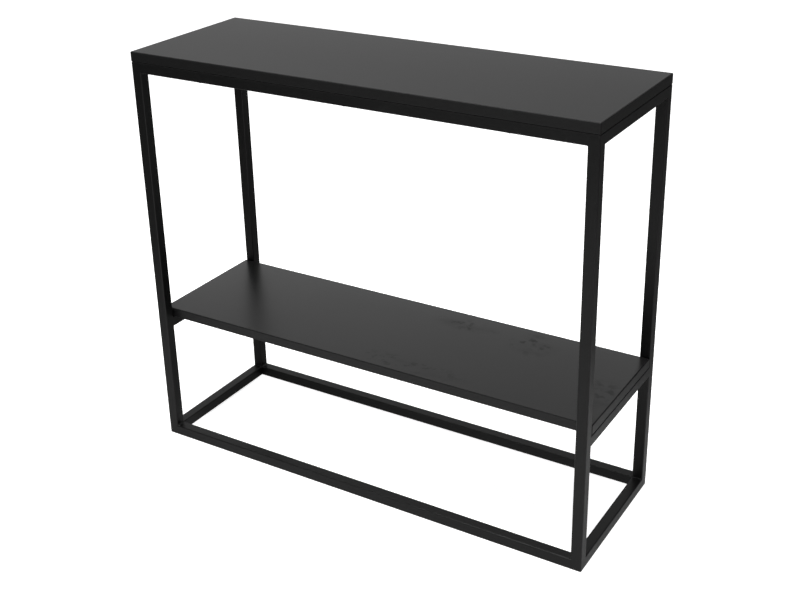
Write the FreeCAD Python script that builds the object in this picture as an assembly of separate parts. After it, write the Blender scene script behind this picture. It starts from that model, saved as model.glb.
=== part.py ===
# An open two-tier console table: a welded black steel frame of square tube, a laminated top
# board lying flush on it, and a laminated shelf board resting on two low rails at its ends.
#
# Millimetres. +X runs along the length, the front faces -Y and +Z is up. The origin is on the
# floor, under the middle of the table. Every piece is written as parts/NAME.step.
import FreeCAD, Part
import os

from FreeCAD import Placement, Rotation, Vector

# Overall sizes.
LENGTH = 900.0
DEPTH = 300.0
HEIGHT = 790.0

# Square steel tube.
TUBE_SIDE = 20.0
TUBE_WALL = 1.5
TUBE_CORNER = 2.0  # radius of the outer long edges

# Boards, each a core with a band glued along every edge.
TOP_THICKNESS = 18.0
SHELF_THICKNESS = 18.0
BAND_THICKNESS = 2.0
SHELF_SURFACE_HEIGHT = 275.0
SHELF_END_INSET = 0.3  # from the frame's end face to the shelf's end
SHELF_LEG_GAP = 2.0  # between the shelf's long edge and the legs

# Leg lengths of the fillet welds in the frame's inside corners.
LONG_RAIL_BEAD = 4.0
SIDE_RAIL_BEAD = 2.0

# Pan-head screws, driven up through a rail into the board on it.
SCREW_DIAMETER = 4.0
SCREW_HEAD_DIAMETER = 7.6
SCREW_HEAD_HEIGHT = 2.6
SCREW_HEAD_ROUNDING = 1.2  # of the head's lower rim
SCREW_POINT_LENGTH = 4.0
SCREW_POINT_DIAMETER = 0.8  # left at the tip
SCREW_BITE = 11.0  # how far a screw reaches into its board
RECESS_SPAN = 4.2  # of the cross recess in the head
RECESS_WIDTH = 0.9
RECESS_DEPTH = 1.4
RAIL_HOLE_CLEARANCE = 0.5  # added to the screw's diameter, in both walls of a rail
PILOT_CLEARANCE = 0.1  # added to the screw's diameter, in a board
PILOT_SPARE = 1.5  # depth of a pilot hole past the tip of its screw
TOP_SCREW_END_DISTANCE = 150.0  # from the frame's end to the first screw of a long rail
TOP_SCREWS_PER_RAIL = 3
SHELF_SCREW_LEG_DISTANCE = 40.0  # from a leg to the nearest screw of a shelf rail

# Heights and half widths that follow from the sizes above.
FRAME_TOP = HEIGHT - TOP_THICKNESS
TOP_RAIL_UNDERSIDE = FRAME_TOP - TUBE_SIDE
SHELF_UNDERSIDE = SHELF_SURFACE_HEIGHT - SHELF_THICKNESS
SHELF_RAIL_UNDERSIDE = SHELF_UNDERSIDE - TUBE_SIDE
LEG_X = (LENGTH - TUBE_SIDE) / 2
LEG_Y = (DEPTH - TUBE_SIDE) / 2
INNER_X = LENGTH / 2 - TUBE_SIDE
INNER_Y = DEPTH / 2 - TUBE_SIDE
WELD_RUN = TUBE_SIDE - 2 * TUBE_CORNER  # the flat part of a tube's side

ORIGIN = Vector(0, 0, 0)
X_AXIS = Vector(1, 0, 0)
Y_AXIS = Vector(0, 1, 0)
Z_AXIS = Vector(0, 0, 1)
SIDES = {"left": -1, "right": 1}
ENDS = {"front": -1, "rear": 1}


def moved(shape, x=0.0, y=0.0, z=0.0, axis=Z_AXIS, degrees=0.0):
    """A copy of the shape, turned about the axis through the origin and then shifted."""
    copy = shape.copy()
    copy.Placement = Placement(Vector(x, y, z), Rotation(axis, degrees)).multiply(copy.Placement)
    return copy


def standing_box(size_x, size_y, size_z, x=0.0, y=0.0, low_z=0.0):
    """A box centred on x, y that stands on the height low_z."""
    return Part.makeBox(size_x, size_y, size_z, Vector(x - size_x / 2, y - size_y / 2, low_z))


def rounded_bar(length, side, radius):
    """A square bar along Z, standing on the origin, with its four long edges rounded."""
    bar = standing_box(side, side, length)
    if radius <= 0.0:
        return bar
    uprights = [edge for edge in bar.Edges if abs(edge.tangentAt(edge.FirstParameter).z) > 0.5]
    return bar.makeFillet(radius, uprights)


def tube(length):
    """A square tube along Z, standing on the origin."""
    outside = rounded_bar(length, TUBE_SIDE, TUBE_CORNER)
    inside = rounded_bar(length, TUBE_SIDE - 2 * TUBE_WALL, TUBE_CORNER - TUBE_WALL)
    return outside.cut(inside)


def mitred_tube(length):
    """A tube along X, centred on the origin. Its ends are mitred and its -Y side is the long one."""
    rail = moved(tube(length), x=-length / 2, axis=Y_AXIS, degrees=90)
    half = TUBE_SIDE / 2
    for end in (-1, 1):
        tip = Vector(end * length / 2, -half, -half)
        back = tip + Y_AXIS * TUBE_SIDE
        inside = back - X_AXIS * (end * TUBE_SIDE)
        outline = Part.makePolygon([tip, back, inside, tip])
        rail = rail.cut(Part.Face(outline).extrude(Z_AXIS * TUBE_SIDE))
    return rail


def mitred_ring(low_z):
    """The four rails of a level rectangle of tube, by side. low_z is its underside."""
    long_rail = mitred_tube(LENGTH)
    side_rail = mitred_tube(DEPTH)
    middle = low_z + TUBE_SIDE / 2
    return {
        "front": moved(long_rail, y=-LEG_Y, z=middle),
        "right": moved(side_rail, x=LEG_X, z=middle, degrees=90),
        "rear": moved(long_rail, y=LEG_Y, z=middle, degrees=180),
        "left": moved(side_rail, x=-LEG_X, z=middle, degrees=270),
    }


def drilled(shape, places, diameter, low_z, depth):
    """The shape with an upright hole at each place, from low_z up."""
    for x, y in places:
        shape = shape.cut(Part.makeCylinder(diameter / 2, depth, Vector(x, y, low_z)))
    return shape


def weld(corner, first_arm, second_arm, size, run):
    """A weld with a concave face, between two faces that meet at the corner and run on along run.

    With the tube's own corner radius as its size, it squares off one of the tube's long edges.
    """
    start = corner + first_arm * size
    end = corner + second_arm * size
    middle = corner + (first_arm + second_arm) * (size * (1 - 0.5**0.5))
    hollow = Part.Arc(start, middle, end).toShape()
    flanks = [Part.makeLine(end, corner), Part.makeLine(corner, start)]
    return Part.Face(Part.Wire([hollow] + flanks)).extrude(run)


def all_corners(shapes):
    """The shapes of the right front corner, repeated in all four corners of the plan."""
    right = shapes + [one.mirror(ORIGIN, Y_AXIS) for one in shapes]
    return right + [one.mirror(ORIGIN, X_AXIS) for one in right]


def ring_welds(face_z, away):
    """The welds of all four legs to one ring of rails, whose near face is at face_z.

    away is -1 where the legs hang below the ring and 1 where they stand on it.
    """
    x_run = X_AXIS * WELD_RUN
    y_run = Y_AXIS * WELD_RUN
    low_x = INNER_X + TUBE_CORNER
    low_y = -DEPTH / 2 + TUBE_CORNER
    along_leg = Z_AXIS * away
    into_rail = Z_AXIS * -away
    return all_corners(
        [
            weld(Vector(INNER_X, low_y, face_z), -X_AXIS, along_leg, LONG_RAIL_BEAD, y_run),
            weld(Vector(low_x, -INNER_Y, face_z), Y_AXIS, along_leg, SIDE_RAIL_BEAD, x_run),
            weld(Vector(low_x, -DEPTH / 2, face_z), Y_AXIS, into_rail, TUBE_CORNER, x_run),
            weld(Vector(LENGTH / 2, low_y, face_z), -X_AXIS, into_rail, TUBE_CORNER, y_run),
        ]
    )


def shelf_rail_welds():
    """The welds of the two shelf rails' ends to the legs: a bead below, a seam on each side."""
    low_x = INNER_X + TUBE_CORNER
    low_z = SHELF_RAIL_UNDERSIDE + TUBE_CORNER
    under = Vector(low_x, -INNER_Y, SHELF_RAIL_UNDERSIDE)
    outer = Vector(LENGTH / 2, -INNER_Y, low_z)
    inner = Vector(INNER_X, -INNER_Y, low_z)
    return all_corners(
        [
            weld(under, Y_AXIS, -Z_AXIS, SIDE_RAIL_BEAD, X_AXIS * WELD_RUN),
            weld(outer, -X_AXIS, -Y_AXIS, TUBE_CORNER, Z_AXIS * WELD_RUN),
            weld(inner, X_AXIS, -Y_AXIS, TUBE_CORNER, Z_AXIS * WELD_RUN),
        ]
    )


def screw():
    """A pan-head screw pointing up, with the seat of its head at the origin's height."""
    radius = SCREW_DIAMETER / 2
    shank_length = TUBE_SIDE + SCREW_BITE - SCREW_POINT_LENGTH
    head = Part.makeCylinder(
        SCREW_HEAD_DIAMETER / 2, SCREW_HEAD_HEIGHT, Vector(0, 0, -SCREW_HEAD_HEIGHT)
    )
    rim = [edge for edge in head.Edges if edge.BoundBox.ZMax < -SCREW_HEAD_HEIGHT / 2]
    head = head.makeFillet(SCREW_HEAD_ROUNDING, rim)
    for size_x, size_y in ((RECESS_SPAN, RECESS_WIDTH), (RECESS_WIDTH, RECESS_SPAN)):
        head = head.cut(standing_box(size_x, size_y, RECESS_DEPTH, low_z=-SCREW_HEAD_HEIGHT))
    shank = Part.makeCylinder(radius, shank_length)
    point = Part.makeCone(
        radius, SCREW_POINT_DIAMETER / 2, SCREW_POINT_LENGTH, Vector(0, 0, shank_length)
    )
    return head.fuse([shank, point]).removeSplitter()


def screws(places, seat_z):
    """One screw at each place, its head against a rail's underside at seat_z."""
    return [moved(screw(), x=x, y=y, z=seat_z) for x, y in places]


def board(name, size_x, size_y, thickness, low_z, screw_places):
    """A board's core, with pilot holes in its underside, and its four edge bands, by node name."""
    core_x = size_x - 2 * BAND_THICKNESS
    core_y = size_y - 2 * BAND_THICKNESS
    core = standing_box(core_x, core_y, thickness, low_z=low_z)
    pilot = SCREW_DIAMETER + PILOT_CLEARANCE
    pieces = {
        f"{name}_core": drilled(core, screw_places, pilot, low_z, SCREW_BITE + PILOT_SPARE)
    }
    for end, sign in ENDS.items():
        y = sign * (size_y - BAND_THICKNESS) / 2
        band = standing_box(size_x, BAND_THICKNESS, thickness, y=y, low_z=low_z)
        pieces[f"{name}_band_{end}"] = band
    for side, sign in SIDES.items():
        x = sign * (size_x - BAND_THICKNESS) / 2
        band = standing_box(BAND_THICKNESS, core_y, thickness, x=x, low_z=low_z)
        pieces[f"{name}_band_{side}"] = band
    return pieces


def top_screw_places():
    """Where screws enter the top board, in pairs on the front and rear rails."""
    reach = LENGTH / 2 - TOP_SCREW_END_DISTANCE
    pitch = 2 * reach / (TOP_SCREWS_PER_RAIL - 1)
    return [(index * pitch - reach, y) for index in range(TOP_SCREWS_PER_RAIL) for y in (-LEG_Y, LEG_Y)]


def shelf_screw_places():
    """Where screws enter the shelf board, two on each of its rails."""
    reach = INNER_Y - SHELF_SCREW_LEG_DISTANCE
    return [(x, y) for x in (-LEG_X, LEG_X) for y in (-reach, reach)]


def frame_pieces():
    """The fourteen tubes of the frame and their welds, by node name."""
    top_places = top_screw_places()
    shelf_places = shelf_screw_places()
    hole = SCREW_DIAMETER + RAIL_HOLE_CLEARANCE
    pieces = {}
    for side, rail in mitred_ring(TOP_RAIL_UNDERSIDE).items():
        if side in ENDS:
            rail = drilled(rail, top_places, hole, TOP_RAIL_UNDERSIDE, TUBE_SIDE)
        pieces[f"top_rail_{side}"] = rail
    for side, rail in mitred_ring(0.0).items():
        pieces[f"base_rail_{side}"] = rail

    leg = tube(TOP_RAIL_UNDERSIDE - TUBE_SIDE)
    lying = moved(tube(2 * INNER_Y), y=INNER_Y, axis=X_AXIS, degrees=90)
    for side, sign in SIDES.items():
        for end, end_sign in ENDS.items():
            upright = moved(leg, x=sign * LEG_X, y=end_sign * LEG_Y, z=TUBE_SIDE)
            pieces[f"leg_{end}_{side}"] = upright
        rail = moved(lying, x=sign * LEG_X, z=SHELF_RAIL_UNDERSIDE + TUBE_SIDE / 2)
        rail = drilled(rail, shelf_places, hole, SHELF_RAIL_UNDERSIDE, TUBE_SIDE)
        pieces[f"shelf_rail_{side}"] = rail

    pieces["top_rail_welds"] = Part.makeCompound(ring_welds(TOP_RAIL_UNDERSIDE, -1))
    pieces["base_rail_welds"] = Part.makeCompound(ring_welds(TUBE_SIDE, 1))
    pieces["shelf_rail_welds"] = Part.makeCompound(shelf_rail_welds())
    return pieces


def board_pieces():
    """Both boards with their edge bands, and the screws that hold them, by node name."""
    top_places = top_screw_places()
    shelf_places = shelf_screw_places()
    shelf_length = LENGTH - 2 * SHELF_END_INSET
    shelf_depth = 2 * (INNER_Y - SHELF_LEG_GAP)
    pieces = board("top_board", LENGTH, DEPTH, TOP_THICKNESS, FRAME_TOP, top_places)
    pieces.update(
        board(
            "shelf_board",
            shelf_length,
            shelf_depth,
            SHELF_THICKNESS,
            SHELF_UNDERSIDE,
            shelf_places,
        )
    )
    top_screws = screws(top_places, TOP_RAIL_UNDERSIDE)
    shelf_screws = screws(shelf_places, SHELF_RAIL_UNDERSIDE)
    pieces["top_board_screws"] = Part.makeCompound(top_screws)
    pieces["shelf_board_screws"] = Part.makeCompound(shelf_screws)
    return pieces


def main():
    """Writes every piece to its own STEP file."""
    os.makedirs("parts", exist_ok=True)
    for name, shape in {**frame_pieces(), **board_pieces()}.items():
        if not shape.isValid() or not all(solid.Volume > 0 for solid in shape.Solids):
            raise ValueError(f"{name} is not made of valid solids")
        shape.exportStep(f"parts/{name}.step")


main()
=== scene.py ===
# The looks of an open two-tier console table: a welded, powder-coated frame of square tube with
# a laminated top board and a laminated shelf board. Metres, in the frame of the CAD part: +X is
# the length, the front faces -Y, +Z is up and the origin is on the floor.
import math
import random

import bmesh
import bpy
from mathutils import Matrix, Vector


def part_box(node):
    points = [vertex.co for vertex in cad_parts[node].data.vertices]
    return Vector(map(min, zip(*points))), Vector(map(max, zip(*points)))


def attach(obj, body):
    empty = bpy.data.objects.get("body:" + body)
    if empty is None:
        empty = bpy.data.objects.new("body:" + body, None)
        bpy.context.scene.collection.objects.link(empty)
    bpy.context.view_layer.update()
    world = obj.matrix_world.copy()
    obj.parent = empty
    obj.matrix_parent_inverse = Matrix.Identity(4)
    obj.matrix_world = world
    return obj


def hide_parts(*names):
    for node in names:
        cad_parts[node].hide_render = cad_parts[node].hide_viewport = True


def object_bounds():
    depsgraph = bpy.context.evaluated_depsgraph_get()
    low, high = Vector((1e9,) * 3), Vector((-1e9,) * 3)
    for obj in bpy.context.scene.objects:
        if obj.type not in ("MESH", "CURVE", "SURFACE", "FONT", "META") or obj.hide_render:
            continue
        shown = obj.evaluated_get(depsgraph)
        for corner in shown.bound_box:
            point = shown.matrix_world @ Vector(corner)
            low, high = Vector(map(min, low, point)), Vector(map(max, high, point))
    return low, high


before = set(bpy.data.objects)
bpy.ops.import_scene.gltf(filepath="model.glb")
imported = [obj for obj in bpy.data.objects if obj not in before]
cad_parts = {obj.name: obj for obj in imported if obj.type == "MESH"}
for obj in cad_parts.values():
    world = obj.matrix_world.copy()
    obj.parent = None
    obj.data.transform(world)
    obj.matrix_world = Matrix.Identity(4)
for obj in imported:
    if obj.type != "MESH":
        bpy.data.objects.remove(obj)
cad_low, cad_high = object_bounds()

MM = 0.001
BODY = "root"

# Sizes that the CAD solids have but their boxes don't show.
TUBE_WALL = 1.5 * MM
TUBE_CORNER = 2.0 * MM
LONG_RAIL_BEAD = 4.0 * MM
SIDE_RAIL_BEAD = 2.0 * MM

# Rounding of the boards' edges.
CORE_EDGE = 0.08 * MM
BAND_EDGE = 1.30 * MM
TOUCH = 0.01 * MM  # a point this near to a board's outer face is on it

# How finely the meshes are cut.
CORNER_STEPS = 6  # faces round each long edge of a tube
MITRE_STEPS = 4  # faces round half of a frame corner
BOARD_EDGE_STEPS = 4  # faces round each edge of a board
BEAD_STEPS = 5  # faces across a weld bead
RIPPLE_STEPS = 4  # rows of faces along each ripple of a bead

# A weld bead: how many ripples it has, and how its size varies, as shares of its full size.
BEAD_RIPPLES = 9
BEAD_RIPPLE_SIZE = 0.05
BEAD_UNEVENNESS = 0.02
BEAD_END_SIZE = 0.55
BEAD_END_GROWTH = 6.0  # how fast it grows from an end, per length of the bead
BEAD_SEED = 7

# Faces that meet at less than this angle, in degrees, are shaded as one surface.
TUBE_SMOOTH = 35.0
WELD_SMOOTH = 50.0
BOARD_SMOOTH = 45.0
FACE_AREA_WEIGHT = 100  # how much a face's area counts in the shading, out of 100

AXIS_Y = 1
AXIS_Z = 2
UP = Vector((0, 0, 1))
EAST = Vector((1, 0, 0))
NORTH = Vector((0, 1, 0))


# --------------------------------------------------------------------------- node helpers


class Shader:
    """A material and short ways to add nodes to it."""

    def __init__(self, name):
        self.material = bpy.data.materials.new(name)
        self.material.use_nodes = True
        self.tree = self.material.node_tree
        self.surface = self.tree.nodes["Principled BSDF"]
        self.place = self.add("ShaderNodeTexCoord").outputs["Object"]

    def add(self, kind, **settings):
        """A node of this kind. A setting is an attribute, and inputs is a dict by socket name."""
        node = self.tree.nodes.new(kind)
        inputs = settings.pop("inputs", {})
        for key, value in settings.items():
            setattr(node, key, value)
        for key, value in inputs.items():
            self.feed(node.inputs[key], value)
        return node

    def feed(self, socket, value):
        """Links an output to the socket, or sets its default."""
        if isinstance(value, bpy.types.NodeSocket):
            self.tree.links.new(value, socket)
        else:
            socket.default_value = value

    def noise(self, scale, detail=2.0, roughness=0.5, stretch=None):
        """Noise from 0 to 1 in the piece's own coordinates; scale is in features per metre."""
        vector = self.place
        if stretch:
            vector = self.add(
                "ShaderNodeMapping", inputs={"Vector": self.place, "Scale": stretch}
            ).outputs["Vector"]
        return self.add(
            "ShaderNodeTexNoise",
            inputs={"Vector": vector, "Scale": scale, "Detail": detail, "Roughness": roughness},
        ).outputs["Fac"]

    def ramp(self, value, low, high, from_low=0.0, from_high=1.0):
        """The value, stretched from one range to another and held inside it."""
        return self.add(
            "ShaderNodeMapRange",
            inputs={
                "Value": value,
                "From Min": from_low,
                "From Max": from_high,
                "To Min": low,
                "To Max": high,
            },
        ).outputs["Result"]

    def maths(self, operation, first, second=0.0):
        """One step of arithmetic."""
        node = self.add("ShaderNodeMath", operation=operation)
        self.feed(node.inputs[0], first)
        self.feed(node.inputs[1], second)
        return node.outputs["Value"]

    def mix(self, share, first, second):
        """A colour between two colours."""
        node = self.add("ShaderNodeMix", data_type="RGBA")
        self.feed(node.inputs["Factor"], share)
        self.feed(node.inputs["A"], first)
        self.feed(node.inputs["B"], second)
        return node.outputs["Result"]

    def reach(self, centre, reach):
        """Distance from this centre, where 1 is this reach along each axis."""
        vector = self.add(
            "ShaderNodeMapping",
            vector_type="TEXTURE",
            inputs={"Vector": self.place, "Location": centre, "Scale": reach},
        ).outputs["Vector"]
        return self.add("ShaderNodeVectorMath", operation="LENGTH", inputs={0: vector}).outputs[
            "Value"
        ]

    def turned(self):
        """How far the surface's normal points along each axis, either way."""
        normal = self.add("ShaderNodeTexCoord").outputs["Normal"]
        size = self.add("ShaderNodeVectorMath", operation="ABSOLUTE", inputs={0: normal})
        return self.add("ShaderNodeSeparateXYZ", inputs={"Vector": size.outputs["Vector"]}).outputs

    def rounding(self):
        """From 0 on a flat face square to the axes to 1 at the middle of a rounded edge."""
        parts = self.turned()
        first = self.maths("MAXIMUM", parts["X"], parts["Y"])
        return self.ramp(self.maths("MAXIMUM", first, parts["Z"]), 1.0, 0.0, *EDGE_TURN)

    def level(self):
        """From 0 on an upright face to 1 on a level one."""
        return self.ramp(self.turned()["Z"], 0.0, 1.0, *LEVEL_TURN)

    def scaled(self, value, factor):
        """The value times this factor."""
        return self.maths("MULTIPLY", value, factor)

    def bump(self, height, distance, under=None):
        """A normal from a height between 0 and 1 that stands for this distance in metres."""
        inputs = {"Height": height, "Distance": distance}
        if under is not None:
            inputs["Normal"] = under
        return self.add("ShaderNodeBump", inputs=inputs).outputs["Normal"]

    def finish(self, tone, roughness, normal):
        """Gives the surface its colour, roughness and normal. The result is the material."""
        for key, value in (("Base Color", tone), ("Roughness", roughness), ("Normal", normal)):
            self.feed(self.surface.inputs[key], value)
        return self.material


def grey(value, warmth=0.0):
    """An opaque near-grey colour."""
    return (value * (1 + warmth), value, value * (1 - warmth), 1.0)


# --------------------------------------------------------------------------- materials


# Patterns are in features per metre, tones are linear greys, and a pair of tones, roughnesses or
# amounts is the value where its pattern is weakest and where it is strongest. Limits are the
# levels of a noise between which its pattern goes from nothing to full.
EDGE_TURN = (0.74, 0.97)  # the normal's largest part in mid-edge, and where the flat face begins
LEVEL_TURN = (0.3, 0.7)  # the normal's part along Z, where a face starts and stops being upright

COAT_CLOUDS = 9.0
COAT_RUBS = 26.0
COAT_RUB_LIMITS = (0.56, 0.72)
COAT_NIBS = 55.0
COAT_NIB_LIMITS = (0.010, 0.030)  # the distances from a nib's middle where it is full and ends
COAT_PEEL = 900.0
COAT_GRIT = 3200.0
COAT_TONES = (0.0024, 0.0036)
COAT_RUBBED_TONE = 0.009
COAT_RUBBED_SHARE = 0.5
COAT_NIB_TONE = 0.12
COAT_NIB_SHARE = 0.6
# The lighter tone of the rounded edges is a painted highlight. The clouds vary how strongly it and
# the edge wear show.
COAT_EDGE_HIGHLIGHT_TONE = 0.018
COAT_WEAR_AND_HIGHLIGHT = (0.55, 1.0)
COAT_WEAR_AND_HIGHLIGHT_LIMITS = (0.3, 0.6)
COAT_ROUGHNESS = (0.36, 0.43)
COAT_RUBBED_ROUGHER = 0.07
COAT_WORN_SMOOTHER = 0.14
COAT_JOINT_ROUGHNESS = 0.95
COAT_SPECULAR = 0.35
COAT_PEEL_DEPTH = 0.030 * MM
COAT_GRIT_DEPTH = 0.006 * MM
COAT_NIB_HEIGHT = 0.08 * MM

LAMINATE_CLOUDS = 5.0
LAMINATE_PEARL = 1400.0
LAMINATE_TONES = (0.0095, 0.0125)
LAMINATE_PEARL_TONE = 0.020
LAMINATE_PEARL_SHARE = 0.35
LAMINATE_ROUGHNESS = (0.30, 0.34)
LAMINATE_PEARL_DEPTH = 0.012 * MM

# Where the shelf has been touched: the centre of each patch and its reach along X and Y.
FINGER_MARKS = (
    (0.10, 0.085, 0.060, 0.018),
    (0.25, 0.075, 0.040, 0.035),
    (0.09, -0.100, 0.100, 0.024),
    (0.42, -0.030, 0.035, 0.045),
)
SHELF_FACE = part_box("shelf_board_core")[1].z
MARK_REACH_Z = 0.1
MARK_LIMITS = (0.5, 1.3)  # full inside the first share of a patch's reach, none past the second
DABS = 75.0
DAB_LIMITS = (0.52, 0.65)
WIPES = 28.0
WIPE_LIMITS = (0.45, 0.7)
WIPE_STRETCH = (0.5, 1.6, 1.0)
WIPE_SHARE = 0.5
SMUDGE_TONE = 0.004
SMUDGE_SHARE = 0.7
SMUDGE_ROUGHER = 0.16

BAND_LINES = 60.0
BAND_LINE_STRETCH = (0.3, 0.3, 40.0)
BAND_GRIT = 1600.0
BAND_TONES = (0.0045, 0.007)
# Painted shade: the darker tone of the band's rounded edges and level faces.
BAND_EDGE_SHADE_TONE = 0.0015
BAND_ROUGHNESS = (0.38, 0.48)
BAND_TRIMMED_ROUGHER = 0.3
BAND_SPECULAR = 0.40
BAND_LINE_DEPTH = 0.006 * MM
BAND_GRIT_DEPTH = 0.004 * MM

SCREW_WEAR = 700.0
SCREW_WEAR_LIMITS = (0.55, 0.75)
SCREW_TONE = 0.02
SCREW_WORN_TONE = 0.16
SCREW_WORN_WARMTH = 0.04
SCREW_ROUGHNESS = (0.45, 0.3)
SCREW_METALLIC = 0.9
SCREW_WEAR_DEPTH = 0.01 * MM


def powder_coat(name, board=None):
    """Black powder coat: orange peel, uneven gloss, dust nibs, rubbed patches, and smoother worn
    edges that carry a painted highlight.

    The tubes under a board have a coat of their own, which is rough in their joint and has no worn
    edge and no painted edge highlight there.
    """
    shader = Shader(name)
    clouds = shader.noise(COAT_CLOUDS, detail=3.0)
    peel = shader.noise(COAT_PEEL, detail=1.0, roughness=0.3)
    grit = shader.noise(COAT_GRIT)
    cells = shader.add("ShaderNodeTexVoronoi", inputs={"Vector": shader.place, "Scale": COAT_NIBS})
    nibs = shader.ramp(cells.outputs["Distance"], 1.0, 0.0, *COAT_NIB_LIMITS)
    rubs = shader.noise(COAT_RUBS, detail=5.0, roughness=0.7)
    rubs = shader.ramp(rubs, 0.0, 1.0, *COAT_RUB_LIMITS)
    # The rounded edges are smoother where worn, and they get a lighter tone that is a painted
    # highlight.
    wear = shader.ramp(clouds, *COAT_WEAR_AND_HIGHLIGHT, *COAT_WEAR_AND_HIGHLIGHT_LIMITS)
    worn_and_highlit = shader.maths("MULTIPLY", shader.rounding(), wear)

    roughness = shader.ramp(clouds, *COAT_ROUGHNESS)
    roughness = shader.maths("ADD", roughness, shader.scaled(rubs, COAT_RUBBED_ROUGHER))
    roughness = shader.maths("SUBTRACT", roughness, shader.scaled(worn_and_highlit, COAT_WORN_SMOOTHER))
    if board:
        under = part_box(f"{board}_core")[0].z
        height = shader.add("ShaderNodeSeparateXYZ", inputs={"Vector": shader.place}).outputs["Z"]
        joint = shader.ramp(height, 0.0, 1.0, under - TUBE_CORNER, under - TUBE_CORNER / 2)
        # In the joint under the board the edges lose their wear and their painted highlight.
        worn_and_highlit = shader.maths("MULTIPLY", worn_and_highlit, shader.maths("SUBTRACT", 1.0, joint))
        joint_roughness = shader.scaled(joint, COAT_JOINT_ROUGHNESS)
        roughness = shader.maths("MAXIMUM", roughness, joint_roughness)

    tone = shader.mix(clouds, *map(grey, COAT_TONES))
    tone = shader.mix(shader.scaled(rubs, COAT_RUBBED_SHARE), tone, grey(COAT_RUBBED_TONE))
    tone = shader.mix(shader.scaled(nibs, COAT_NIB_SHARE), tone, grey(COAT_NIB_TONE))
    # Painted highlight: a lighter tone on the rounded edges.
    tone = shader.mix(worn_and_highlit, tone, grey(COAT_EDGE_HIGHLIGHT_TONE))
    normal = shader.bump(peel, COAT_PEEL_DEPTH)
    normal = shader.bump(grit, COAT_GRIT_DEPTH, under=normal)
    normal = shader.bump(nibs, COAT_NIB_HEIGHT, under=normal)
    shader.surface.inputs["Specular IOR Level"].default_value = COAT_SPECULAR
    return shader.finish(tone, roughness, normal)


def finger_marks(shader):
    """Dabs and wipes inside the touched patches, from 0 to 1."""
    touched = 0.0
    for x, y, reach_x, reach_y in FINGER_MARKS:
        distance = shader.reach((x, y, SHELF_FACE), (reach_x, reach_y, MARK_REACH_Z))
        patch = shader.ramp(distance, 1.0, 0.0, *MARK_LIMITS)
        touched = shader.maths("MAXIMUM", touched, patch)
    dabs = shader.ramp(shader.noise(DABS), 0.0, 1.0, *DAB_LIMITS)
    wipes = shader.noise(WIPES, detail=3.0, stretch=WIPE_STRETCH)
    wipes = shader.ramp(wipes, 0.0, WIPE_SHARE, *WIPE_LIMITS)
    return shader.maths("MULTIPLY", shader.maths("MAXIMUM", dabs, wipes), touched)


def laminate():
    """Matt black melamine: a fine pearled face, cloudy variation, finger marks on the shelf."""
    shader = Shader("laminate_black")
    clouds = shader.noise(LAMINATE_CLOUDS)
    pearl = shader.noise(LAMINATE_PEARL, roughness=0.6)
    smudges = finger_marks(shader)

    tone = shader.mix(clouds, *map(grey, LAMINATE_TONES))
    pearly = shader.ramp(pearl, 0.0, LAMINATE_PEARL_SHARE)
    tone = shader.mix(pearly, tone, grey(LAMINATE_PEARL_TONE))
    tone = shader.mix(shader.scaled(smudges, SMUDGE_SHARE), tone, grey(SMUDGE_TONE))
    roughness = shader.ramp(clouds, *LAMINATE_ROUGHNESS)
    roughness = shader.maths("ADD", roughness, shader.scaled(smudges, SMUDGE_ROUGHER))
    return shader.finish(tone, roughness, shader.bump(pearl, LAMINATE_PEARL_DEPTH))


def edge_band():
    """Black ABS edging: faint lengthwise scraper lines, matt where it is trimmed flush, and a darker
    tone on its rounded edges and level faces that is painted shade.
    """
    shader = Shader("edge_band_black")
    lines = shader.noise(BAND_LINES, detail=3.0, stretch=BAND_LINE_STRETCH)
    grit = shader.noise(BAND_GRIT)
    matt_and_shaded = shader.maths("MAXIMUM", shader.rounding(), shader.level())

    tone = shader.mix(lines, *map(grey, BAND_TONES))
    # Painted shade: a darker tone on the rounded edges and level faces.
    tone = shader.mix(matt_and_shaded, tone, grey(BAND_EDGE_SHADE_TONE))
    roughness = shader.ramp(lines, *BAND_ROUGHNESS)
    roughness = shader.maths("ADD", roughness, shader.scaled(matt_and_shaded, BAND_TRIMMED_ROUGHER))
    normal = shader.bump(lines, BAND_LINE_DEPTH)
    normal = shader.bump(grit, BAND_GRIT_DEPTH, under=normal)
    shader.surface.inputs["Specular IOR Level"].default_value = BAND_SPECULAR
    return shader.finish(tone, roughness, normal)


def black_screw():
    """Black oxide steel with bright worn patches in the recess and on the rim."""
    shader = Shader("screw_black_oxide")
    wear = shader.noise(SCREW_WEAR, detail=4.0, roughness=0.7)
    wear = shader.ramp(wear, 0.0, 1.0, *SCREW_WEAR_LIMITS)
    tone = shader.mix(wear, grey(SCREW_TONE), grey(SCREW_WORN_TONE, warmth=SCREW_WORN_WARMTH))
    shader.surface.inputs["Metallic"].default_value = SCREW_METALLIC
    roughness = shader.ramp(wear, *SCREW_ROUGHNESS)
    return shader.finish(tone, roughness, shader.bump(wear, SCREW_WEAR_DEPTH))


# --------------------------------------------------------------------------- mesh helpers


def piece(name, points, faces, material, smooth_angle):
    """A new object from points and faces, smooth where its faces meet at less than this angle."""
    mesh = bpy.data.meshes.new(name)
    mesh.from_pydata([tuple(point) for point in points], [], faces)
    work = bmesh.new()
    work.from_mesh(mesh)
    bmesh.ops.recalc_face_normals(work, faces=work.faces)
    work.to_mesh(mesh)
    work.free()
    for face in mesh.polygons:
        face.use_smooth = True
    mesh.set_sharp_from_angle(angle=math.radians(smooth_angle))
    mesh.materials.append(material)
    made = bpy.data.objects.new(name, mesh)
    bpy.context.scene.collection.objects.link(made)
    weighting = made.modifiers.new("even_shading", "WEIGHTED_NORMAL")
    weighting.weight = FACE_AREA_WEIGHT
    weighting.keep_sharp = True
    return made


def settle(made, node):
    """The piece stands for this CAD node and moves with its body."""
    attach(made, BODY)
    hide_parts(node)
    return made


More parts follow.
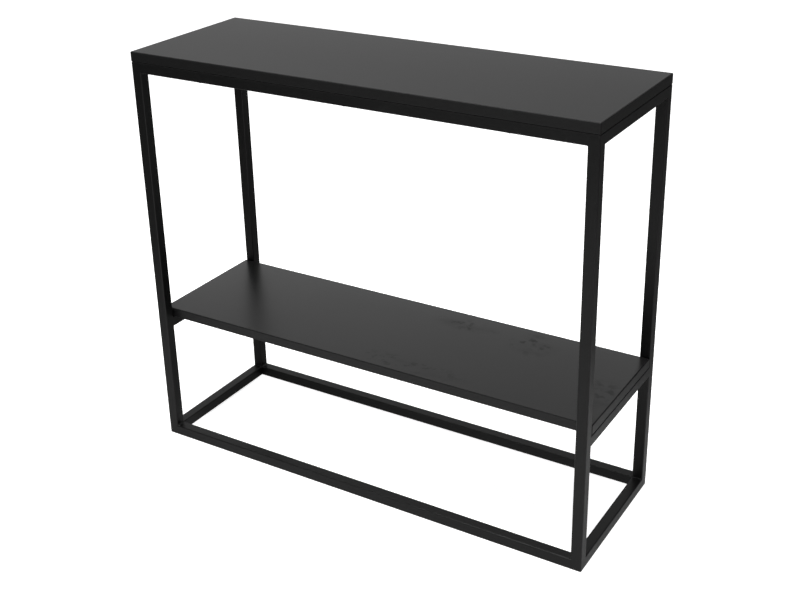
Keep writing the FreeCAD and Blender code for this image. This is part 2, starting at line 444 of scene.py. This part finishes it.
def loop_faces(rings, count, offset=0, closed_ends=True):
    """Faces between rings of the same number of points, and across the first and the last."""
    faces = []
    for ring in range(rings - 1):
        for point in range(count):
            after = (point + 1) % count
            low = offset + ring * count
            high = low + count
            faces.append((low + point, low + after, high + after, high + point))
    if closed_ends:
        faces.append(tuple(offset + point for point in range(count)))
        faces.append(tuple(offset + (rings - 1) * count + point for point in range(count)))
    return faces


def square_outline(side, radius):
    """Points round a square centred on 0, 0 with rounded corners."""
    reach = side / 2 - radius
    outline = []
    for quarter, (sign_x, sign_y) in enumerate(((1, 1), (-1, 1), (-1, -1), (1, -1))):
        for step in range(CORNER_STEPS + 1):
            angle = math.radians(90) * (quarter + step / CORNER_STEPS)
            outline.append(
                (
                    sign_x * reach + radius * math.cos(angle),
                    sign_y * reach + radius * math.sin(angle),
                )
            )
    return outline


def joined_tube(name, outer_rings, inner_rings, material):
    """A tube from matching outer and inner rings, with a flat face across the wall at each end."""
    count = len(outer_rings[0])
    points = [point for ring in outer_rings + inner_rings for point in ring]
    outer = len(outer_rings)
    start = outer * count
    faces = loop_faces(outer, count, closed_ends=False)
    faces += loop_faces(len(inner_rings), count, offset=start, closed_ends=False)
    last_outer = (outer - 1) * count
    last_inner = start + (len(inner_rings) - 1) * count
    for point in range(count):
        after = (point + 1) % count
        faces.append((point, after, start + after, start + point))
        faces.append((last_outer + point, last_outer + after, last_inner + after, last_inner + point))
    return piece(name, points, faces, material, TUBE_SMOOTH)


# --------------------------------------------------------------------------- the frame


def straight_tube(node, along, material):
    """A square-cut tube that fills this node's box and runs along this axis."""
    low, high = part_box(node)
    middle = (low + high) / 2
    across = [axis for axis in range(3) if axis != along]
    side = (high - low)[across[0]]

    def ring(outline, place):
        points = []
        for first, second in outline:
            point = middle.copy()
            point[along] = place
            point[across[0]] += first
            point[across[1]] += second
            points.append(point)
        return points

    outer = square_outline(side, TUBE_CORNER)
    inner = square_outline(side - 2 * TUBE_WALL, TUBE_CORNER - TUBE_WALL)
    ends = (low[along], high[along])
    made = joined_tube(
        f"{node}_coated",
        [ring(outer, end) for end in ends],
        [ring(inner, end) for end in ends],
        material,
    )
    return settle(made, node)


def mitred_rail(node, side, material):
    """A rail of a mitred rectangle, its outer corner rounded where it meets its neighbours."""
    low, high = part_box(node)
    middle = (low + high) / 2
    tube = high.z - low.z
    outward = {"front": -NORTH, "rear": NORTH, "left": -EAST, "right": EAST}[side]
    along = UP.cross(outward)
    half = abs((high - low).dot(along)) / 2
    face = middle + outward * (tube / 2)

    def end_place(depth, share):
        """How far along and how deep a point lies, share of the way round the outer corner."""
        if depth >= TUBE_CORNER:
            return half - depth - (1 - share) * TUBE_CORNER, depth
        radius = TUBE_CORNER - depth
        angle = math.radians(45) * share
        return (
            half - TUBE_CORNER + radius * math.sin(angle),
            TUBE_CORNER - radius * math.cos(angle),
        )

    def ring(outline, end, share):
        points = []
        for across, height in outline:
            reach, depth = end_place(tube / 2 - across, share)
            points.append(face - outward * depth + along * (end * reach) + UP * height)
        return points

    outer = square_outline(tube, TUBE_CORNER)
    inner = square_outline(tube - 2 * TUBE_WALL, TUBE_CORNER - TUBE_WALL)
    shares = [step / MITRE_STEPS for step in range(MITRE_STEPS + 1)]
    outer_rings = [ring(outer, -1, share) for share in reversed(shares)]
    outer_rings += [ring(outer, 1, share) for share in shares]
    inner_rings = [ring(inner, end, 1.0) for end in (-1, 1)]
    made = joined_tube(f"{node}_coated", outer_rings, inner_rings, material)
    return settle(made, node)


def bead_mesh(corner, first_arm, second_arm, size, run, chance):
    """Points and faces of one rippled fillet bead between two faces, tapered at its ends."""
    length_steps = BEAD_RIPPLES * RIPPLE_STEPS
    points = []
    for step in range(length_steps + 1):
        share = step / length_steps
        taper = min(1.0, BEAD_END_SIZE + BEAD_END_GROWTH * min(share, 1 - share))
        ripple = 1.0 + BEAD_RIPPLE_SIZE * math.sin(2 * math.pi * BEAD_RIPPLES * share)
        unevenness = 1.0 + chance.uniform(-BEAD_UNEVENNESS, BEAD_UNEVENNESS)
        width = size * taper * ripple * unevenness
        base = corner + run * share
        points.append(base)
        for across in range(BEAD_STEPS + 1):
            angle = math.radians(90) * across / BEAD_STEPS
            first = width * (1 - math.sin(angle))
            second = width * (1 - math.cos(angle))
            points.append(base + first_arm * first + second_arm * second)
    return points, loop_faces(length_steps + 1, BEAD_STEPS + 2)


def weld_piece(name, node, parts, material):
    """One piece from several beads, collars and seams, each with its points and its faces."""
    points, faces = [], []
    for part_points, part_faces in parts:
        start = len(points)
        points += part_points
        faces += [tuple(start + index for index in face) for face in part_faces]
    made = piece(name, points, faces, material, WELD_SMOOTH)
    return settle(made, node)


def collar_mesh(leg_low, leg_high, from_z, to_z):
    """The squared-off stretch of weld that carries a leg's outline into the rail beside it."""
    middle = (leg_low + leg_high) / 2
    outline = square_outline(leg_high.x - leg_low.x, TUBE_CORNER)
    points = [
        Vector((middle.x + across, middle.y + deep, height))
        for height in (from_z, to_z)
        for across, deep in outline
    ]
    return points, loop_faces(2, len(outline))


def seam_mesh(edge_x, edge_y, side_x, side_y, low_z, tube):
    """The filled groove, along Z, where a shelf rail's end meets a rounded edge of the leg."""
    middle_x = side_x * (cad_high.x - tube / 2)
    inward = math.copysign(1.0, middle_x - edge_x)
    outline = [(edge_x, edge_y)]
    for step in range(CORNER_STEPS + 1):
        angle = math.radians(90) * step / CORNER_STEPS
        outline.append(
            (
                edge_x + inward * TUBE_CORNER * (1 - math.sin(angle)),
                edge_y + side_y * TUBE_CORNER * (1 - math.cos(angle)),
            )
        )
    heights = (low_z + TUBE_CORNER, low_z + tube - TUBE_CORNER)
    points = [Vector((x, y, height)) for height in heights for x, y in outline]
    return points, loop_faces(2, len(outline))


def leg_welds(leg, material, chance):
    """The welds of one leg to the top rails, the base rails and the shelf rail."""
    low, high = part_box(leg)
    side_x = math.copysign(1.0, low.x + high.x)
    side_y = math.copysign(1.0, low.y + high.y)
    inward_x = EAST * -side_x
    inward_y = NORTH * -side_y
    inner_x = low.x if side_x > 0 else high.x
    inner_y = low.y if side_y > 0 else high.y
    flat = (high.x - low.x) - 2 * TUBE_CORNER
    place = leg.replace("leg_", "")

    for node, face_z, away in (("top_rail_welds", high.z, -1), ("base_rail_welds", low.z, 1)):
        start_y = Vector((inner_x, inner_y + side_y * TUBE_CORNER, face_z))
        start_x = Vector((inner_x + side_x * TUBE_CORNER, inner_y, face_z))
        beads = [
            bead_mesh(start_y, inward_x, UP * away, LONG_RAIL_BEAD, NORTH * (side_y * flat), chance),
            bead_mesh(start_x, inward_y, UP * away, SIDE_RAIL_BEAD, EAST * (side_x * flat), chance),
            collar_mesh(low, high, face_z, face_z - away * TUBE_CORNER),
        ]
        weld_piece(f"{node}_{place}", node, beads, material)

    rail_low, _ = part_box("shelf_rail_left")
    tube = high.x - low.x
    under = Vector((inner_x + side_x * TUBE_CORNER, inner_y, rail_low.z))
    bead = bead_mesh(under, inward_y, -UP, SIDE_RAIL_BEAD, EAST * (side_x * flat), chance)
    seams = [seam_mesh(x, inner_y, side_x, side_y, rail_low.z, tube) for x in (low.x, high.x)]
    weld_piece(f"shelf_rail_welds_{place}", "shelf_rail_welds", [bead] + seams, material)


# --------------------------------------------------------------------------- the boards


def outermost(edge, low, high):
    """Whether this edge of a block lies on two of the whole board's outer faces."""
    first, second = (vertex.co for vertex in edge.verts)
    faces = 0
    for axis in range(3):
        for limit in (low[axis], high[axis]):
            faces += abs(first[axis] - limit) < TOUCH and abs(second[axis] - limit) < TOUCH
    return faces == 2


def board_part(node, material):
    """A block that fills this node's box, its edges rounded: a band's only where the board ends."""
    low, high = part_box(node)
    board = node.split("_board")[0] + "_board"
    board_low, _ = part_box(f"{board}_band_front")
    _, board_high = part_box(f"{board}_band_rear")
    work = bmesh.new()
    bmesh.ops.create_cube(work, size=1.0)
    for vertex in work.verts:
        for axis in range(3):
            vertex.co[axis] = high[axis] if vertex.co[axis] > 0 else low[axis]
    edges, radius = list(work.edges), CORE_EDGE
    if "_band_" in node:
        edges = [edge for edge in edges if outermost(edge, board_low, board_high)]
        radius = BAND_EDGE
    bmesh.ops.bevel(
        work,
        geom=edges,
        offset=radius,
        segments=BOARD_EDGE_STEPS,
        profile=0.5,  # an arc of a circle
        affect="EDGES",
    )
    points = [vertex.co.copy() for vertex in work.verts]
    faces = [tuple(vertex.index for vertex in face.verts) for face in work.faces]
    work.free()
    made = piece(f"{node}_finished", points, faces, material, BOARD_SMOOTH)
    return settle(made, node)


# --------------------------------------------------------------------------- the stage


CAMERA_PLACE = Vector((1.0836, -1.7296, 1.3329))
CAMERA_TURN = 31.76  # degrees from straight ahead (+Y) towards -X
CAMERA_TILT = 22.98  # degrees below the horizon
CAMERA_ROLL = -1.27
CAMERA_LENS = 55.43  # millimetres, on the sensor below
CAMERA_SENSOR = 36.0
CAMERA_RISE = -0.0802  # lens shift
CAMERA_FAR = 200.0

# The floor that the camera sees, and the wide light that falls on it alone.
FLOOR_SIZE = 60.0
FLOOR_PLACE = -0.1 * MM
FLOOR_TONE = 0.86
FLOOR_ROUGHNESS = 0.9
FLOOR_GLOW = 0.82
SUN_STRENGTH = 0.90
SUN_SPREAD = 70  # degrees

# The light on the table.
LIGHT_PLACE = (0.1, -0.25, 2.6)
LIGHT_TARGET = (0.1, -0.05, 0.0)
LIGHT_SIZE = (1.7, 1.5)
LIGHT_POWER = 78.0

# What the table reflects of the room: soft light from the horizon up to a height, dim above.
ROOM_LEVEL = 0.07
HORIZON_LEVEL = 0.12
HORIZON_TOP = 0.35

# The bright part of the floor that the table reflects: an ellipse with a soft edge.
CARD_SIZE = 14.0
CARD_PLACE = -1.0 * MM
CARD_CENTRE = (0.75, -1.1, 0.0)
CARD_REACH = (1.7, 1.5, 1.0)
CARD_EDGE = (0.88, 1.14)  # where it starts and stops fading, as shares of its reach
CARD_BRIGHT = 0.44
CARD_DIM = 0.12
CARD_GLOW = 0.6

# The glowing card behind the table, which the level surfaces reflect.
GLOW_BEHIND = 1.0  # its place along Y
GLOW_ENDS = (-3.2, 0.30)
GLOW_TOP = 1.7
GLOW_HEIGHTS = (  # height, glow
    (0.0, 0.05),
    (0.55, 0.30),
    (0.70, 0.95),
    (0.85, 0.85),
    (0.98, 0.38),
    (1.06, 0.18),
    (1.30, 0.20),
    (1.70, 0.65),
)
GLOW_LEFT = 1.30  # how much stronger it is at its left than at its right
GLOW_FADE = (-1.3, 0.0)  # the places along X between which it changes

# The soft card in front, which only rounded edges and faces seen from low down reflect.
FRONT_PLACE = -3.0  # along Y
FRONT_ENDS = (-2.4, 1.8)
FRONT_HEIGHTS = (1.5, 2.8)
FRONT_GLOW = 1.6


def make_camera():
    """The camera, at the photograph's viewing angle."""
    data = bpy.data.cameras.new("camera")
    data.sensor_width = CAMERA_SENSOR
    data.lens = CAMERA_LENS
    data.shift_y = CAMERA_RISE
    data.clip_end = CAMERA_FAR
    camera = bpy.data.objects.new("camera", data)
    bpy.context.scene.collection.objects.link(camera)
    turn = Matrix.Rotation(math.radians(CAMERA_TURN), 4, "Z")
    tilt = Matrix.Rotation(math.radians(90 - CAMERA_TILT), 4, "X")
    roll = Matrix.Rotation(math.radians(CAMERA_ROLL), 4, "Z")
    camera.matrix_world = Matrix.Translation(CAMERA_PLACE) @ turn @ tilt @ roll
    bpy.context.scene.camera = camera


def stage_plane(name, corners, material):
    """A flat stage piece through these corners."""
    mesh = bpy.data.meshes.new(name)
    mesh.from_pydata(corners, [], [tuple(range(len(corners)))])
    mesh.materials.append(material)
    made = bpy.data.objects.new(name, mesh)
    bpy.context.scene.collection.objects.link(made)
    return made


def square_corners(side, height):
    """The corners of a level square centred on the origin."""
    half = side / 2
    return [(x * half, y * half, height) for x, y in ((-1, -1), (1, -1), (1, 1), (-1, 1))]


def area_light(name, place, target, size, power):
    """A rectangular soft light that points at the target."""
    data = bpy.data.lights.new(name, "AREA")
    data.shape = "RECTANGLE"
    data.size, data.size_y = size
    data.energy = power
    light = bpy.data.objects.new(name, data)
    light.location = place
    light.rotation_mode = "QUATERNION"
    light.rotation_quaternion = (Vector(target) - Vector(place)).to_track_quat("-Z", "Y")
    bpy.context.scene.collection.objects.link(light)


def emitter(name, strength_of):
    """A material that only glows. strength_of takes the shader and gives the strength."""
    glow = Shader(name)
    emission = glow.add("ShaderNodeEmission", inputs={"Strength": strength_of(glow)})
    glow.feed(glow.tree.nodes["Material Output"].inputs["Surface"], emission.outputs["Emission"])
    return glow.material


def floor_card():
    """Bright inside an ellipse round the table's front and right end, dim outside it."""
    card = Shader("floor_card")
    share = card.ramp(card.reach(CARD_CENTRE, CARD_REACH), 0.0, 1.0, *CARD_EDGE)
    paint = card.mix(share, grey(CARD_BRIGHT), grey(CARD_DIM))
    card.feed(card.surface.inputs["Base Color"], paint)
    card.feed(card.surface.inputs["Emission Color"], paint)
    card.surface.inputs["Emission Strength"].default_value = CARD_GLOW
    card.surface.inputs["Roughness"].default_value = 1.0
    card.surface.inputs["Specular IOR Level"].default_value = 0.0
    return card.material


def rear_card_strength(card):
    """Strongest at about the height that the shelf reflects, and stronger to the left."""
    parts = card.add("ShaderNodeSeparateXYZ", inputs={"Vector": card.place}).outputs
    height = card.ramp(parts["Z"], 0.0, 1.0, 0.0, GLOW_TOP)
    profile = card.add("ShaderNodeValToRGB", inputs={"Fac": height})
    stops = profile.color_ramp.elements
    stops.remove(stops[1])
    stops[0].color = grey(GLOW_HEIGHTS[0][1])
    for at, level in GLOW_HEIGHTS[1:]:
        stops.new(at / GLOW_TOP).color = grey(level)
    sideways = card.ramp(parts["X"], GLOW_LEFT, 1.0, *GLOW_FADE)
    return card.maths("MULTIPLY", profile.outputs["Color"], sideways)


def make_floor():
    """The plain pale floor that the camera sees, evenly lit, with only soft shadows."""
    pale = Shader("floor_pale")
    pale.surface.inputs["Base Color"].default_value = grey(FLOOR_TONE)
    pale.surface.inputs["Roughness"].default_value = FLOOR_ROUGHNESS
    pale.surface.inputs["Emission Color"].default_value = grey(1.0)
    pale.surface.inputs["Emission Strength"].default_value = FLOOR_GLOW
    floor = stage_plane("floor", square_corners(FLOOR_SIZE, FLOOR_PLACE), pale.material)
    floor.visible_diffuse = False
    floor.visible_glossy = False
    floor.visible_shadow = False

    data = bpy.data.lights.new("floor_sun", "SUN")
    data.energy = SUN_STRENGTH
    data.angle = math.radians(SUN_SPREAD)
    sun = bpy.data.objects.new("floor_sun", data)
    bpy.context.scene.collection.objects.link(sun)
    lit_by_sun = bpy.data.collections.new("lit_by_floor_sun")
    lit_by_sun.objects.link(floor)
    sun.light_linking.receiver_collection = lit_by_sun


def upright_card(name, place_y, ends, heights, material):
    """A card that stands square to +Y."""
    (low_x, high_x), (low_z, high_z) = ends, heights
    corners = [(low_x, low_z), (high_x, low_z), (high_x, high_z), (low_x, high_z)]
    return stage_plane(name, [(x, place_y, z) for x, z in corners], material)


def make_cards():
    """What the table reflects: a floor card, and glowing cards behind it and in front of it."""
    card = stage_plane("floor_card", square_corners(CARD_SIZE, CARD_PLACE), floor_card())
    lit = emitter("rear_card", rear_card_strength)
    rear = upright_card("rear_card", GLOW_BEHIND, GLOW_ENDS, (0.0, GLOW_TOP), lit)
    lit = emitter("front_card", lambda card: FRONT_GLOW)
    front = upright_card("front_card", FRONT_PLACE, FRONT_ENDS, FRONT_HEIGHTS, lit)
    for unseen in (card, rear, front):
        unseen.visible_camera = False
        unseen.visible_shadow = False


def make_world():
    """White to the camera. To everything that reflects it, dim with a soft light horizon."""
    world = bpy.data.worlds.new("world")
    world.use_nodes = True
    nodes, links = world.node_tree.nodes, world.node_tree.links

    def span(value, from_low, from_high, to_low, to_high):
        """The value, stretched from one range to another."""
        node = nodes.new("ShaderNodeMapRange")
        links.new(value, node.inputs["Value"])
        for key, level in (
            ("From Min", from_low),
            ("From Max", from_high),
            ("To Min", to_low),
            ("To Max", to_high),
        ):
            node.inputs[key].default_value = level
        return node

    split = nodes.new("ShaderNodeSeparateXYZ")
    links.new(nodes.new("ShaderNodeTexCoord").outputs["Generated"], split.inputs["Vector"])
    room = span(split.outputs["Z"], 0.0, HORIZON_TOP, HORIZON_LEVEL, ROOM_LEVEL)
    seen = span(nodes.new("ShaderNodeLightPath").outputs["Is Camera Ray"], 0.0, 1.0, 0.0, 1.0)
    links.new(room.outputs["Result"], seen.inputs["To Min"])
    links.new(seen.outputs["Result"], nodes["Background"].inputs["Strength"])
    nodes["Background"].inputs["Color"].default_value = grey(1.0)
    bpy.context.scene.world = world
    bpy.context.scene.view_settings.view_transform = "Standard"
    bpy.context.scene.view_settings.look = "None"


def make_stage():
    """A plain pale floor and plain soft studio light."""
    make_floor()
    make_cards()
    make_world()
    area_light("light_above", LIGHT_PLACE, LIGHT_TARGET, LIGHT_SIZE, LIGHT_POWER)


# --------------------------------------------------------------------------- assembly


def main():
    """Builds every piece round the frame."""
    make_camera()
    coat = powder_coat("powder_coat_black")
    top_coat = powder_coat("powder_coat_black_under_top", "top_board")
    shelf_coat = powder_coat("powder_coat_black_under_shelf", "shelf_board")
    face = laminate()
    band = edge_band()
    screw = black_screw()
    chance = random.Random(BEAD_SEED)
    for node, cad_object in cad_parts.items():
        if node.startswith("leg_"):
            straight_tube(node, AXIS_Z, coat)
            leg_welds(node, coat, chance)
        elif node in ("shelf_rail_left", "shelf_rail_right"):
            straight_tube(node, AXIS_Y, shelf_coat)
        elif "_rail_" in node and "welds" not in node:
            rail_coat = top_coat if node.startswith("top_") else coat
            mitred_rail(node, node.rsplit("_", 1)[1], rail_coat)
        elif node.endswith("_core"):
            board_part(node, face)
        elif "_band_" in node:
            board_part(node, band)
        elif node.endswith("_screws"):
            cad_object.data.materials.clear()
            cad_object.data.materials.append(screw)
    make_stage()


main()
